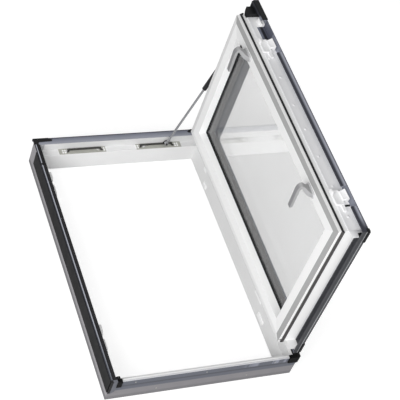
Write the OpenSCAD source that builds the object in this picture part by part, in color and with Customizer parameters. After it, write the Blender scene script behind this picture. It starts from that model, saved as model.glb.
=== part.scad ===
// Side-hung roof access window, sash open. Millimetres, +Z out of the roof, +X to the hinge jamb,
// +Y to the head, origin in the middle of the frame's underside.

/* [Frame] */
// outer width of the frame
frame_w = 780; // [660:1:1000]
// outer length of the frame
frame_l = 1180; // [980:1:1500]
// height from the underside to the top of the covers
frame_h = 134; // [110:1:160]
// width of a frame member round the daylight opening
lining_t = 40; // [36:1:46]
// depth of the ledge that the sash closes on, below the covers
ledge_d = 46; // [44:1:50]
// thickness of the upstand outside the ledge
wall_t = 10; // [9:0.5:11]
// thickness of the grey casing
casing_t = 4; // [3:0.5:5]
// height of the casing's lower edge
casing_z = 14; // [8:1:20]
// inset of the underside behind the casing
foot_in = 20; // [14:1:24]
// radius of a fixing hole through the ledge
fix_r = 3.5; // [2.5:0.1:5]
// distance of the fixing holes from the ends of the frame
fix_end = 290; // [250:5:320]

/* [Covers] */
// thickness of the head cover, ribs and rubber strips
cover_t = 3; // [2:0.5:3]
// overhang of the head cover outside the frame
cover_out = 17; // [8:1:24]
// reach of the head cover over the upstand
cover_in = 15; // [12:0.5:15]
// depth of the head cover's outer lip
cover_lip = 12; // [8:1:16]
// thickness of the skin proud of the casing
skin_t = 2; // [1:0.5:3]
// share of a jamb casing's height below the side channel
channel_low = 0.376; // [0.3:0.002:0.45]
// height of the sill cover's flange
flange_h = 59; // [50:1:70]
// height of the sill cover's face
apron_h = 44; // [34:1:50]
// rise of a jamb's rib over the covers
rib_up = 1; // [0.5:0.1:1.2]
// width of the rib along a jamb's outer edge
rib_w = 8; // [6:0.5:9]
// width of the rubber strip on a jamb
strip_w = 14; // [10:0.5:14]
// distance of the channel's end from the head
channel_end = 52; // [40:1:60]
// length of a head corner's arm along the jamb
arm_jamb = 112; // [80:1:130]
// length of a head corner's arm along the head cover
arm_head = 84; // [60:1:100]
// width of a head corner's jamb arm
arm_w = 18; // [14:1:20]
// thickness of a corner piece on the covers
arm_t = 2; // [1.5:0.1:2.4]
// width of a sill corner block
block_w = 42; // [36:1:50]
// height of a sill corner block below the covers
block_h = 36; // [30:1:44]
// proud of a sill corner block
block_out = 6; // [4:0.5:8]

/* [Hinge] */
// distance of the hinge axis inside the frame's outer face
axis_in = 11; // [10:0.5:12]
// height of the hinge axis over the covers
axis_up = 21; // [20:0.5:22]
// angle that the sash stands open at rest
sash_open = 90; // [60:1:90]
// distance of the hinges from the ends of the frame
hinge_end = 195; // [160:1:240]
// length of a hinge
hinge_len = 72; // [60:1:90]
// outer radius of a knuckle
knuckle_r = 7; // [6.5:0.1:7]
// radius of a hinge pin
pin_r = 3.5; // [3:0.1:4]
// thickness of a hinge leaf
leaf_t = 4; // [3:0.5:4]

/* [Sash] */
// gap beside the closed sash in the opening
side_gap = 6; // [5:0.5:8]
// gap at the head of the closed sash
head_gap = 4; // [3:0.5:5]
// gap at the sill of the closed sash
sill_gap = 5; // [4:0.5:10]
// depth of the inner face below the ledge
sash_drop = 22; // [18:1:26]
// width of the band round the inner face
band_w = 24; // [18:1:28]
// set-back of the band at its edge
band_d = 3; // [1:0.5:5]
// width of the inner face from side to reveal
face_w = 65; // [60:1:72]
// depth of the reveal in front of the glass
reveal_d = 36; // [32:1:38]
// cover of the rebate over the edge of the glass
glass_lap = 18; // [14:1:22]
// gap round the edge of the glass
glass_gap = 2; // [1.5:0.5:4]
// width of the rubber round the side of the sash
seal_w = 3; // [2:0.1:3.4]
// height of that rubber
seal_h = 7.5; // [5:0.5:10]
// reach of that rubber below the ledge
seal_low = 5; // [3:0.5:6]

/* [Glazing] */
// thickness of a pane
pane_t = 4; // [3:0.5:4]
// width of the space between two panes
space_t = 16; // [12:1:16]
// width of a spacer
spacer_w = 15; // [10:1:17]
// thickness of the glazing gasket
bed_t = 2; // [1:0.5:3]
// reach of the glazing gasket past the reveal
bed_out = 1.5; // [0.5:0.1:3]

/* [Cladding] */
// overhang of the cladding over the frame's upstand
clad_over = 2; // [1:0.5:3]
// gap between the cladding and the covers
clad_up = 4; // [3.5:0.5:6]
// height of the cladding's skirt
clad_h = 26; // [24:0.5:30]
// thickness of the cladding
clad_t = 2; // [1.5:0.1:2.5]
// width of the cladding's turned-in lower edge
clad_turn = 6; // [4:0.5:8]
// width of the lip on the glass
clad_lip = 11; // [8:1:14]
// further reach of the head lip over the glass
head_lip = 50; // [30:1:60]
// arm of a cladding corner piece
corner_arm = 34; // [26:1:44]
// thickness of a cladding corner piece
corner_t = 2.5; // [1.5:0.1:3]
// length of a sill corner's cap along the sill
slim_l = 60; // [40:1:80]
// length of that cap along the side
slim_arm = 14; // [10:1:24]
// depth of that cap on the skirt
slim_h = 10; // [6:0.5:14]
// length of the head corner's cap along the free side
cap_l = 110; // [90:1:114]
// length of the dark plate above the upper latch
dark_l = 70; // [50:1:80]

/* [Lock] */
// distance of the keepers from the ends of the frame
keeper_end = 209; // [190:1:230]
// length of the keeper's long hump
hump_a = 53; // [45:1:60]
// gap between the humps
hump_gap = 25; // [24:0.5:30]
// length of the keeper's short hump
hump_b = 42; // [30:1:50]
// width of a keeper
keeper_w = 19; // [17:0.5:20]
// reach of the short hump and of the nose past the keeper
keeper_nose = 10; // [6:0.5:10]
// height of a keeper over the ledge
keeper_h = 30; // [28:1:32]
// height of the lock strip's edge over the rebate
lock_up = 7; // [3:0.5:10]
// thickness of the lock strip
lock_t = 2; // [1.5:0.5:2]
// height of the latch tongue over the ledge
tongue_up = 14; // [13:0.5:15]
// thickness of the tongue
tongue_h = 8; // [6:0.5:8]
// width of the tongue
tongue_w = 20; // [16:0.5:20]
// reach of the tongue from the lock strip
tongue_l = 19; // [17.5:0.5:19]
// travel of a latch
latch_travel = 18; // [12:0.5:20]
// length of a latch
latch_len = 68; // [60:1:76]
// reach of a latch past the tongue
latch_end = 10; // [6:0.5:12]
// height of a latch's block over the lock strip
latch_h = 24; // [20:0.5:28]
// height of a slider rail over the ledge
rail_up = 36; // [34:1:38]
// width of a slider rail
rail_w = 12; // [10:1:12]
// depth of a slider rail
rail_h = 6; // [4:0.5:6]

/* [Handle] */
// distance of the upper handle from the sash's head
handle_head = 180; // [160:1:200]
// distance of the lower handle from the sash's sill
handle_sill = 225; // [200:1:250]
// distance of the handle axis from the side of the sash
handle_in = 42; // [40:1:46]
// radius of the rosette's ends
rosette_r = 15; // [13:0.5:16]
// distance between the centres of the rosette's ends
rosette_l = 44; // [20:1:50]
// thickness of the rosette
rosette_t = 9; // [6:0.5:12]
// radius of the spindle
neck_r = 7; // [6:0.5:8]
// depth of the grip below the inner face
grip_d = 56; // [48:1:58]
// sideways bow of the neck
bow = 17; // [10:1:22]
// length of the grip from the axis
grip_l = 82; // [70:1:100]
// radius of the grip's end
grip_r = 7; // [5:0.5:7.5]
// width of the lever
lever_w = 22; // [16:1:24]

/* [Gas spring] */
// frame pivot, distance from the hinge axis
gas_back = 171; // [150:1:190]
// frame pivot, height over the ledge
gas_up = 11.5; // [11:0.5:13]
// distance of the spring's plane from the upstand
gas_in = 16; // [15.6:0.1:16.4]
// sash pivot, distance from the hinge axis
gas_reach = 559; // [545:1:570]
// sash pivot, height over the ledge when closed
gas_rise = 45; // [40:0.5:48]
// radius of the rod
rod_r = 5; // [4:0.5:5.2]
// radius of the tube
tube_r = 10; // [9:0.5:10]
// length of the tube
tube_l = 273; // [264:1:276]
// radius of the eye and of the end piece
eye_r = 9; // [8:0.5:9]
// width of the eye
eye_w = 11; // [10.5:0.5:12]
// radius of the pivot stud
stud_r = 4; // [3:0.5:4.5]
// distance of the end piece's end from the tube
gas_end = 14; // [12:1:16]
// length of the plate on the sash
plate_l = 52; // [40:1:60]
// height of the plate on the sash
plate_h = 32; // [26:1:36]
// thickness of the plate on the sash
plate_t = 6; // [5:0.5:6.5]

/* [Stay plates] */
// length of a stay plate
stay_l = 208; // [160:1:215]
// distance of a stay plate's end from the jamb
stay_end = 72; // [60:1:76]
// thickness of a stay plate
stay_t = 2; // [1.5:0.5:3]
// length of the slot
slot_l = 152; // [110:1:156]
// width of the slot
slot_w = 8; // [6:0.5:8.5]
// turn of the slot's ends to the opening
slot_turn = 9; // [6:0.5:10]

/* [Clearances] */
// running fit of pins and bores
fit = 0.05; // [0.02:0.01:0.08]
// gap beside moving pieces
gap = 0.4; // [0.3:0.05:0.6]
// radius of a screw head
screw_r = 3.5; // [3:0.1:4.5]
// height of a screw head
screw_h = 1.6; // [1:0.1:2]

/* [Hidden] */
$fn = 48;
eps = 0.01;
over = 60;
tall = 4 * frame_h;
top_z = frame_h - cover_t;
ledge_z = frame_h - ledge_d;
channel_z = casing_z + (top_z - casing_z) * channel_low;
flange_z = top_z - flange_h;
apron_z = frame_h - apron_h;
axis_x = frame_w / 2 - axis_in;
axis_z = frame_h + axis_up;
open_w = frame_w - 2 * lining_t;
open_l = frame_l - 2 * lining_t;
wall_x = frame_w / 2 - wall_t;
wall_y = frame_l / 2 - wall_t;
fix_x = frame_w - lining_t - wall_t;
fix_y = frame_l - 2 * fix_end;
hinge_y = frame_l / 2 - hinge_end;
keeper_y = frame_l / 2 - keeper_end;
sash_w = open_w - 2 * side_gap;
sash_l = open_l - head_gap - sill_gap;
sash_dy = (sill_gap - head_gap) / 2;
sash_z = ledge_z - sash_drop;
rebate_z = sash_z + reveal_d;
side_x = sash_w / 2;
head_y = sash_dy + sash_l / 2;
glass_in = face_w - glass_lap;
stop_in = glass_in - glass_gap;
pack_z = rebate_z + bed_t;
pack_top = pack_z + 3 * pane_t + 2 * space_t;
clad_z0 = frame_h + clad_up;
clad_z1 = clad_z0 + clad_h;
clad_w = frame_w - 2 * wall_t + 2 * clad_over;
clad_out = (clad_w - sash_w) / 2;
clad_l = sash_l + 2 * clad_out;
lip_u = clad_out + face_w + 1;
strip_u = rib_w + 1;
strip_x = frame_w / 2 - strip_u - strip_w;
keeper_l = hump_a + hump_gap + hump_b;
tongue_y = hump_a + hump_gap / 2 - keeper_l / 2;
tongue_z = ledge_z + tongue_up;
rail_z = ledge_z + rail_up;
lock_z = rebate_z + lock_up;
latch_z = rebate_z + 1;
lock_x = side_x + lock_t;
latch_x = lock_x + 2 * rail_h;
latch_y0 = tongue_y - tongue_w / 2 + latch_end - latch_len;
handle_x = handle_in - side_x;
handle_ys = [head_y - handle_head, head_y - sash_l + handle_sill];
stay_x = open_w / 2 - stay_end - stay_l / 2;
gas_x = axis_x - gas_back;
gas_z = ledge_z + gas_up;
gas_y = wall_y - gas_in;
gas_sx = axis_x - gas_reach;
gas_sz = ledge_z + gas_rise;
gas_u = gas_sx - axis_x;
gas_w = gas_sz - axis_z;
gas_ex = axis_x + gas_u * cos(sash_open) + gas_w * sin(sash_open) - gas_x;
gas_ez = axis_z - gas_u * sin(sash_open) + gas_w * cos(sash_open) - gas_z;
gas_len = sqrt(gas_ex * gas_ex + gas_ez * gas_ez);
gas_short = sqrt(pow(gas_sx - gas_x, 2) + pow(gas_sz - gas_z, 2));
gas_tilt = atan2(gas_ex, gas_ez);
tube_z = gas_len - gas_end - tube_l;
rod_end = gas_short - gas_end - eye_r;

white = [0.93, 0.93, 0.92];
grey = [0.58, 0.58, 0.59];
slate = [0.43, 0.45, 0.5];
black = [0.08, 0.08, 0.09];
steel = [0.66, 0.66, 0.62];
clear = [0.8, 0.86, 0.87, 0.35];

// Straight member along X at the +Y side of a ring, mitred at 45 degrees; a section point is [inward, up]
module bar(len, half, sec) {
    intersection() {
        rotate([90, 0, 90])
            linear_extrude(len + 2 * over, center = true)
                polygon([for (p = sec) [half - p[0], p[1]]]);
        linear_extrude(tall)
            polygon([[0, half - len / 2], [len / 2 + over, half + over], [-len / 2 - over, half + over]]);
    }
}

// Member of a ring: head 0, sill 1, lock side 2, hinge side 3
module side(which, w, l, sec) {
    turn = [0, 180, 90, -90][which];
    rotate([0, 0, turn])
        bar(which < 2 ? w : l, which < 2 ? l / 2 : w / 2, sec);
}

// Rectangular box about the Z axis between two heights
module block(w, l, z0, z1) {
    translate([-w / 2, -l / 2, z0])
        cube([w, l, z1 - z0]);
}

// Closed sash turned about the hinge axis to its rest angle
module swing() {
    translate([axis_x, 0, axis_z])
        rotate([0, sash_open, 0])
            translate([-axis_x, 0, -axis_z])
                children();
}

// Member of the sash ring
module sash_side(which, w, l, sec) {
    swing()
        translate([0, sash_dy, 0])
            side(which, w, l, sec);
}

// Frame
frame_sec = [[casing_t, casing_z], [foot_in, 0], [lining_t, 0], [lining_t, ledge_z], [wall_t, ledge_z],
    [wall_t, top_z], [casing_t, top_z]];

module fix_holes() {
    for (x = [-1, 1], y = [-1, 1])
        translate([x * fix_x / 2, y * fix_y / 2, -eps])
            cylinder(r = fix_r, h = ledge_z + 2 * eps);
}

module frame_head() color(white) side(0, frame_w, frame_l, frame_sec);

module frame_sill() color(white) side(1, frame_w, frame_l, frame_sec);

module frame_jamb_lock() color(white)
    difference() {
        side(2, frame_w, frame_l, frame_sec);
        fix_holes();
    }

module frame_jamb_hinge() color(white)
    difference() {
        side(3, frame_w, frame_l, frame_sec);
        fix_holes();
    }

function casing_sec(z1) = [[0, casing_z], [casing_t, casing_z], [casing_t, z1], [0, z1]];

module casing_head() color(grey) side(0, frame_w, frame_l, casing_sec(top_z));

module casing_sill() color(grey) side(1, frame_w, frame_l, casing_sec(flange_z));

// Jamb casing, cut away behind the side channel
module jamb_casing(which)
    difference() {
        side(which, frame_w, frame_l, casing_sec(top_z));
        channel_room();
    }

module casing_lock() color(grey) jamb_casing(2);

module casing_hinge() color(grey) jamb_casing(3);

// Side channels run from the sill to near the head, with a slanted lower end
channel_sec = [[-skin_t, channel_z], [casing_t, channel_z], [casing_t, top_z], [-skin_t, top_z]];

module channel_room()
    rotate([90, 0, 90])
        linear_extrude(2 * frame_w, center = true)
            polygon([[-frame_l / 2 - over, channel_z + over + casing_t], [-frame_l / 2 + casing_t, channel_z],
                [frame_l / 2 - channel_end, channel_z], [frame_l / 2 - channel_end, tall],
                [-frame_l / 2 - over, tall]]);

module channel(which)
    intersection() {
        side(which, frame_w, frame_l, channel_sec);
        channel_room();
        block(2 * frame_w, frame_l - 2 * casing_t - 1, 0, tall);
    }

module channel_lock() color(black) channel(2);

module channel_hinge() color(black) channel(3);

module cover_head() color(slate)
    intersection() {
        side(0, frame_w, frame_l, [[-cover_out, frame_h - cover_lip], [cover_t - cover_out, frame_h - cover_lip],
            [cover_t - cover_out, top_z], [cover_in, top_z], [cover_in, frame_h], [-cover_out, frame_h]]);
        block(frame_w + 2 * skin_t, 2 * frame_l, 0, tall);
    }

module cover_sill() color(slate)
    side(1, frame_w, frame_l, [[0, flange_z], [casing_t, flange_z], [casing_t, top_z], [skin_t, top_z],
        [skin_t, frame_h], [-skin_t, frame_h], [-skin_t, apron_z], [0, apron_z]]);

rib_sec = [[0, top_z], [rib_w, top_z], [rib_w, frame_h],
    [rib_w - rib_up, frame_h + rib_up], [rib_up, frame_h + rib_up], [0, frame_h]];

// Ribs and rubber strips run between the head cover and the sill cover
module run_between() {
    intersection() {
        children();
        translate([-frame_w, -frame_l / 2 + skin_t, 0])
            cube([2 * frame_w, frame_l - skin_t - cover_in, tall]);
    }
}

module rib_lock() color(slate) run_between() side(2, frame_w, frame_l + 2 * over, rib_sec);

module rib_hinge() color(slate) run_between() side(3, frame_w, frame_l + 2 * over, rib_sec);

strip_sec = [[strip_u, top_z], [strip_u + strip_w, top_z], [strip_u + strip_w, frame_h],
    [strip_u + strip_w * 0.7, frame_h], [strip_u + strip_w * 0.6, frame_h - 1],
    [strip_u + strip_w * 0.4, frame_h - 1], [strip_u + strip_w * 0.3, frame_h], [strip_u, frame_h]];

module strip_lock() color(black) run_between() side(2, frame_w, frame_l + 2 * over, strip_sec);

module strip_hinge() color(black)
    difference() {
        run_between() side(3, frame_w, frame_l + 2 * over, strip_sec);
        for (y = [-1, 1])
            translate([open_w / 2, y * hinge_y - hinge_len / 2 - 1, 0])
                cube([wall_x - open_w / 2 + 1, hinge_len + 2, tall]);
    }

// Corner at the head: a grooved arm with a round end along the jamb, a pointed arm on the head cover
module head_corner() {
    x0 = -frame_w / 2 - skin_t;
    y1 = frame_l / 2 + cover_out;
    yc = frame_l / 2 - cover_in;
    ym = (y1 + yc) / 2;
    ye = yc - arm_jamb + arm_w / 2;
    translate([0, 0, frame_h])
        linear_extrude(arm_t)
            polygon([[x0, yc], [x0, y1], [x0 + arm_head * 0.8, y1], [x0 + arm_head, ym + 2 * arm_t],
                [x0 + arm_head * 0.94, ym - arm_t], [x0 + arm_w + 2 * arm_t, ym - 2 * arm_t], [x0 + arm_w + arm_t, yc]]);
    difference() {
        translate([x0 + skin_t + arm_w / 2, 0, frame_h + rib_up])
            linear_extrude(arm_t - rib_up)
                union() {
                    translate([-arm_w / 2, ye])
                        square([arm_w, yc - ye]);
                    translate([0, ye])
                        circle(r = arm_w / 2);
                }
        translate([x0 + skin_t + arm_t, ye, frame_h])
            cube([rib_w - arm_t, arm_jamb, frame_h]);
    }
}

module corner_head_lock() color(black) head_corner();

module corner_head_hinge() color(black) mirror([1, 0, 0]) head_corner();

// Corner block at the sill, wrapped round the end of the sill cover; room is left for the covers
module cover_room()
    union() {
        translate([-frame_w / 2 - skin_t, -frame_l / 2 - skin_t, 0])
            cube([frame_w + 2 * skin_t, frame_l, frame_h + rib_up]);
        block(frame_w - 2 * wall_t, frame_l - 2 * wall_t, 0, tall);
    }

module corner_sill_hinge() color(black)
    difference() {
        translate([frame_w / 2 - block_w, -frame_l / 2 - block_out, frame_h + arm_t - block_h])
            cube([block_w + block_out, block_w, block_h]);
        cover_room();
        translate([frame_w / 2 + block_out, -frame_l / 2 - block_out, 0])
            rotate([0, 0, 45])
                block(block_out, block_out, 0, tall);
        translate([frame_w / 2 - block_w, -frame_l / 2 - block_out, frame_h + arm_t - block_h])
            rotate([0, 45, 0])
                cube([block_out, 2 * block_out, block_out], center = true);
    }

module corner_sill_lock() color(black)
    difference() {
        translate([-frame_w / 2 + block_w * 0.6 + gap, -frame_l / 2 - block_out, frame_h + arm_t - block_h])
            cube([block_w * 0.45, block_w / 2, block_h]);
        cover_room();
        translate([-frame_w / 2 + block_w * 1.05, -frame_l / 2 - block_out, frame_h])
            rotate([0, 0, 45])
                block(block_out, block_out, 0, tall);
    }

// Metal end piece on the lock jamb's lower end, rounded below
module corner_end() color(slate) {
    xa = -frame_w / 2 - skin_t;
    xb = -frame_w / 2 + block_w * 0.6;
    z0 = channel_z + arm_t;
    z1 = frame_h + arm_t;
    difference() {
        translate([0, -frame_l / 2 - block_out / 2, 0])
            rotate([90, 0, 0])
                mirror([0, 0, 1])
                    linear_extrude(block_w / 4)
                        polygon([[xa, z1], [xa, z0], [xa + block_w * 0.35, z0], [xb - arm_t, z0 + rib_w],
                            [xb, z0 + 2 * rib_w], [xb, z1]]);
        cover_room();
    }
}

// Slot of a stay plate, its ends turned to the opening
module stay_slot(x, room, h) {
    l = slot_l / 2;
    y1 = slot_w / 2 - room;
    y0 = -slot_w / 2 + room;
    ye = y0 - slot_turn;
    translate([x, open_l / 2 + lining_t - wall_t - slot_w, ledge_z])
        linear_extrude(h)
            polygon([[room - l, ye], [slot_w - room - l, ye], [2 * slot_w - room - l, y0], [l + room - 2 * slot_w, y0],
                [l + room - slot_w, ye], [l - room, ye], [l - room - slot_w, y1], [slot_w + room - l, y1]]);
}

// Slotted plate on the head's ledge
module stay_plate(x)
    difference() {
        translate([x - stay_l / 2, open_l / 2 + 0.5, ledge_z])
            cube([stay_l, lining_t - wall_t - 1, stay_t]);
        stay_slot(x, 0, stay_t + 1);
    }

module stay_plate_left() color(steel) stay_plate(-stay_x);

module stay_plate_right() color(steel) stay_plate(stay_x);

// Black slide in each slot
module stay_slides() color(black)
    for (x = [-stay_x, stay_x])
        stay_slot(x, gap, stay_t);

// Keeper with two humps, slotted under the long one
module keeper(y) {
    l = keeper_l / 2;
    a = hump_a - l;
    b = l - hump_b;
    z1 = ledge_z + keeper_h;
    zm = ledge_z + keeper_h * 0.45;
    difference() {
        translate([-wall_x, y, 0])
            rotate([90, 0, 90]) {
                linear_extrude(keeper_w)
                    polygon([[-l, ledge_z], [l, ledge_z], [l, zm], [l - 6, z1], [b + 6, z1], [b, zm],
                        [b, ledge_z + 4], [a, ledge_z + 4], [a, z1], [6 - l, z1], [-l, zm]]);
                linear_extrude(keeper_w + keeper_nose)
                    polygon([[b, ledge_z], [l, ledge_z], [l, zm], [l - 6, z1], [b + 6, z1], [b, zm]]);
                linear_extrude(keeper_w + keeper_nose)
                    polygon([[-l, ledge_z], [a, ledge_z], [a, zm], [-l, zm]]);
            }
        translate([-wall_x + 4, y + a - latch_travel - 3, tongue_z - 2])
            cube([wall_x, latch_travel + 4, tongue_h + 4]);
    }
}

module keeper_upper() color(white) keeper(keeper_y);

module keeper_lower() color(white) keeper(-keeper_y);

// Hinge leaf on the upstand with two knuckles
module hinge_frame(y) {
    k = hinge_len / 3;
    difference() {
        union() {
            translate([wall_x - leaf_t, y - hinge_len / 2, ledge_z])
                cube([leaf_t, hinge_len, axis_z - knuckle_r - 2 - ledge_z]);
            for (s = [-1, 1])
                translate([axis_x, y + s * k, axis_z])
                    rotate([90, 0, 0])
                        cylinder(r = knuckle_r, h = k, center = true);
            for (s = [-1, 1])
                translate([wall_x - leaf_t, y + s * k - k / 2, axis_z - knuckle_r - 3])
                    cube([leaf_t, k, knuckle_r + 3]);
        }
        translate([axis_x, y, axis_z])
            rotate([90, 0, 0])
                cylinder(r = pin_r + fit, h = 2 * hinge_len, center = true);
    }
}

module hinge_frame_upper() color(white) hinge_frame(hinge_y);

module hinge_frame_lower() color(white) hinge_frame(-hinge_y);

module hinge_pins() color(steel)
    for (y = [-1, 1])
        translate([axis_x, y * hinge_y, axis_z])
            rotate([90, 0, 0])
                cylinder(r = pin_r, h = hinge_len, center = true);

// Hinge leaf on the hinge stile with one knuckle
module hinge_sash(y) {
    k = hinge_len / 3 - 2 * gap;
    z1 = axis_z - 2;
    swing()
        difference() {
            union() {
                translate([side_x, y - hinge_len / 2, rebate_z])
                    cube([leaf_t, hinge_len, z1 - rebate_z]);
                translate([side_x, y - k / 2, z1 - 2 * leaf_t])
                    cube([axis_x - side_x - leaf_t, k, 2 * leaf_t]);
                translate([axis_x, y, axis_z])
                    rotate([90, 0, 0])
                        cylinder(r = knuckle_r, h = k, center = true);
            }
            translate([axis_x, y, axis_z])
                rotate([90, 0, 0])
                    cylinder(r = pin_r + fit, h = 2 * hinge_len, center = true);
        }
}

module hinge_sash_upper() color(white) hinge_sash(hinge_y);

module hinge_sash_lower() color(white) hinge_sash(-hinge_y);

// Sash
sash_sec = [[0, sash_z + band_d], [band_w, sash_z], [face_w, sash_z], [face_w, rebate_z], [stop_in, rebate_z],
    [stop_in, clad_z1 - clad_t], [0, clad_z1 - clad_t]];

module sash_head() color(white) sash_side(0, sash_w, sash_l, sash_sec);

module sash_sill() color(white) sash_side(1, sash_w, sash_l, sash_sec);

module sash_stile_lock() color(white) sash_side(2, sash_w, sash_l, sash_sec);

// Block that closes the room between hinge stile and cladding at the sill
module end_block() {
    xs = strip_x - leaf_t;
    xe = clad_w / 2 - clad_turn - gap;
    y0 = head_y - sash_l - clad_out + clad_turn + clad_t;
    z1 = clad_z1 - clad_t;
    swing() {
        translate([0, y0, 0])
            rotate([90, 0, 0])
                mirror([0, 0, 1])
                    linear_extrude(head_y - sash_l + leaf_t - y0)
                        polygon([[side_x, rebate_z + leaf_t], [xs - leaf_t, rebate_z + leaf_t], [xs, rebate_z + 2 * leaf_t],
                            [xs, clad_z0], [xe, clad_z0 + leaf_t], [xe, z1], [side_x, z1]]);
        translate([side_x - 1, head_y - sash_l + clad_t, rebate_z + leaf_t])
            cube([2, clad_t, z1 - rebate_z - leaf_t]);
    }
}

module sash_stile_hinge() color(white) {
    sash_side(3, sash_w, sash_l, sash_sec);
    end_block();
}

// Rubber round the side of the sash, at the height of the ledge
module sash_gasket() color(black) ring_box(-seal_w, 0, ledge_z - seal_low, ledge_z - seal_low + seal_h);

module ring_box(u0, u1, z0, z1)
    swing()
        translate([0, sash_dy, 0])
            difference() {
                block(sash_w - 2 * u0, sash_l - 2 * u0, z0, z1);
                block(sash_w - 2 * u1, sash_l - 2 * u1, z0 - 1, z1 + 1);
            }

module glazing_gasket() color(black) ring_box(glass_in, face_w + bed_out, rebate_z, pack_z);

module pane(k)
    swing()
        translate([0, sash_dy, pack_z + k * (pane_t + space_t)])
            block(sash_w - 2 * glass_in, sash_l - 2 * glass_in, 0, pane_t);

module pane_inner() color(clear) pane(0);

module pane_middle() color(clear) pane(1);

module pane_outer() color(clear) pane(2);

module spacers() color([0.3, 0.3, 0.31])
    for (k = [0, 1])
        ring_box(face_w - spacer_w, face_w, pack_z + pane_t + k * (pane_t + space_t),
            pack_z + (k + 1) * (pane_t + space_t));

// Cladding
clad_flat = clad_out + stop_in;
clad_sec = [[0, clad_z0], [clad_turn, clad_z0], [clad_turn, clad_z0 + clad_t], [clad_t, clad_z0 + clad_t],
    [clad_t, clad_z1 - clad_t], [clad_flat, clad_z1 - clad_t], [lip_u - clad_lip, pack_top], [lip_u, pack_top],
    [lip_u, pack_top + clad_t], [lip_u - clad_lip + clad_t, pack_top + clad_t], [clad_flat + clad_t, clad_z1],
    [0, clad_z1]];

module clad_head() color(slate) {
    sash_side(0, clad_w, clad_l, clad_sec);
    swing()
        translate([-clad_w / 2 + lip_u, sash_dy + clad_l / 2 - lip_u - head_lip, pack_top])
            cube([clad_w - 2 * lip_u, head_lip, clad_t]);
}

module clad_sill() color(slate) sash_side(1, clad_w, clad_l, clad_sec);

// Notches of the free side's skirt: from the head corner's cap to the upper latch, and at the lower latch
notch_at = latch_y0 - latch_travel - leaf_t;
notches = [[keeper_y + notch_at, head_y + clad_out - cap_l],
    [-keeper_y + notch_at, -keeper_y + latch_y0 + latch_len + leaf_t]];

module clad_lock() color(slate) {
    difference() {
        sash_side(2, clad_w, clad_l, clad_sec);
        swing()
            for (n = notches)
                translate([-clad_w / 2 - 1, n[0], 0])
                    cube([clad_turn + 2, n[1] - n[0], clad_z1 - clad_t]);
    }
    swing()
        translate([-lock_x - clad_t, keeper_y + tongue_w, clad_z0])
            cube([clad_t, dark_l, clad_h - clad_t / 2]);
}

module clad_hinge() color(slate)
    difference() {
        sash_side(3, clad_w, clad_l, clad_sec);
        swing()
            for (y = [-1, 1])
                translate([axis_x - 2 * knuckle_r, y * hinge_y - hinge_len / 2 - leaf_t, 0])
                    cube([over, hinge_len + 2 * leaf_t, tall]);
    }

// Corner piece over a mitre of the cladding, for the +X +Y corner
module clad_corner() {
    x1 = clad_w / 2;
    y1 = clad_l / 2;
    difference() {
        translate([x1 - corner_arm, y1 - corner_arm, clad_z0 + clad_turn])
            cube([corner_arm + corner_t, corner_arm + corner_t, clad_z1 + corner_t - clad_z0 - clad_turn]);
        translate([x1 - corner_arm - 1, y1 - corner_arm - 1, 0])
            cube([corner_arm + 1, corner_arm + 1, clad_z1]);
        translate([x1 - corner_arm, y1 - corner_arm, 0])
            rotate([0, 0, 45])
                block(corner_arm * 1.4, corner_arm * 1.4, 0, tall);
    }
}

// Slim cap round the outer edge of a sill corner, for the +X +Y corner
module slim_corner()
    difference() {
        translate([clad_w / 2 - slim_l, clad_l / 2 - slim_arm, clad_z1 - slim_h])
            cube([slim_l + corner_t, slim_arm + corner_t, slim_h + corner_t]);
        translate([clad_w / 2 - slim_l - 1, clad_l / 2 - slim_arm - 1, 0])
            cube([slim_l + 1, slim_arm + 1, clad_z1]);
    }

// Hood between the sash and the skirt at a free corner
module corner_hood() {
    x0 = side_x;
    y0 = sash_l / 2;
    z0 = rebate_z + 3 * leaf_t;
    xs = strip_x - 3;
    ys = y0 + lining_t - cover_in;
    hull() {
        translate([x0, y0 - corner_arm / 2, rebate_z])
            cube([1, corner_arm / 2, clad_t]);
        translate([x0, y0 - corner_arm / 2, z0])
            cube([xs - x0, ys - y0 + corner_arm / 2, clad_z0 + clad_t - z0]);
    }
    translate([x0, y0 - corner_arm / 2, clad_z0 + clad_t])
        cube([clad_w / 2 - clad_t - x0, clad_out + corner_arm / 2 - clad_t, clad_h - 2 * clad_t]);
}

// Cap over the skirt beside a free corner
module corner_cap()
    translate([clad_w / 2, clad_l / 2 - cap_l, clad_z0 + clad_turn])
        cube([corner_t, cap_l, clad_z1 + corner_t - clad_z0 - clad_turn]);

module place_corner(mx, my)
    swing()
        translate([0, sash_dy, 0])
            mirror([mx, 0, 0])
                mirror([0, my, 0])
                    children();

module clad_corner_head_lock() color(black) {
    place_corner(1, 0) clad_corner();
    place_corner(1, 0) corner_cap();
    place_corner(1, 0) corner_hood();
}

module clad_corner_sill_lock() color(black) place_corner(1, 1) slim_corner();

module clad_corner_head_hinge() color(black) place_corner(0, 0) clad_corner();

module clad_corner_sill_hinge() color(black) place_corner(0, 1) slim_corner();

// Lock strip on the free side with a slider rail at each latch
module lock_strip() color([0.7, 0.71, 0.73])
    swing() {
        translate([-lock_x, sash_dy - sash_l / 2, lock_z])
            cube([lock_t, sash_l - corner_arm / 2 - gap, clad_z1 - clad_t - lock_z]);
        for (y = [-1, 1])
            translate([-lock_x - rail_h, y * keeper_y + latch_y0 - latch_travel, rail_z])
                cube([rail_h, latch_len + latch_travel, rail_w]);
    }

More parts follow.
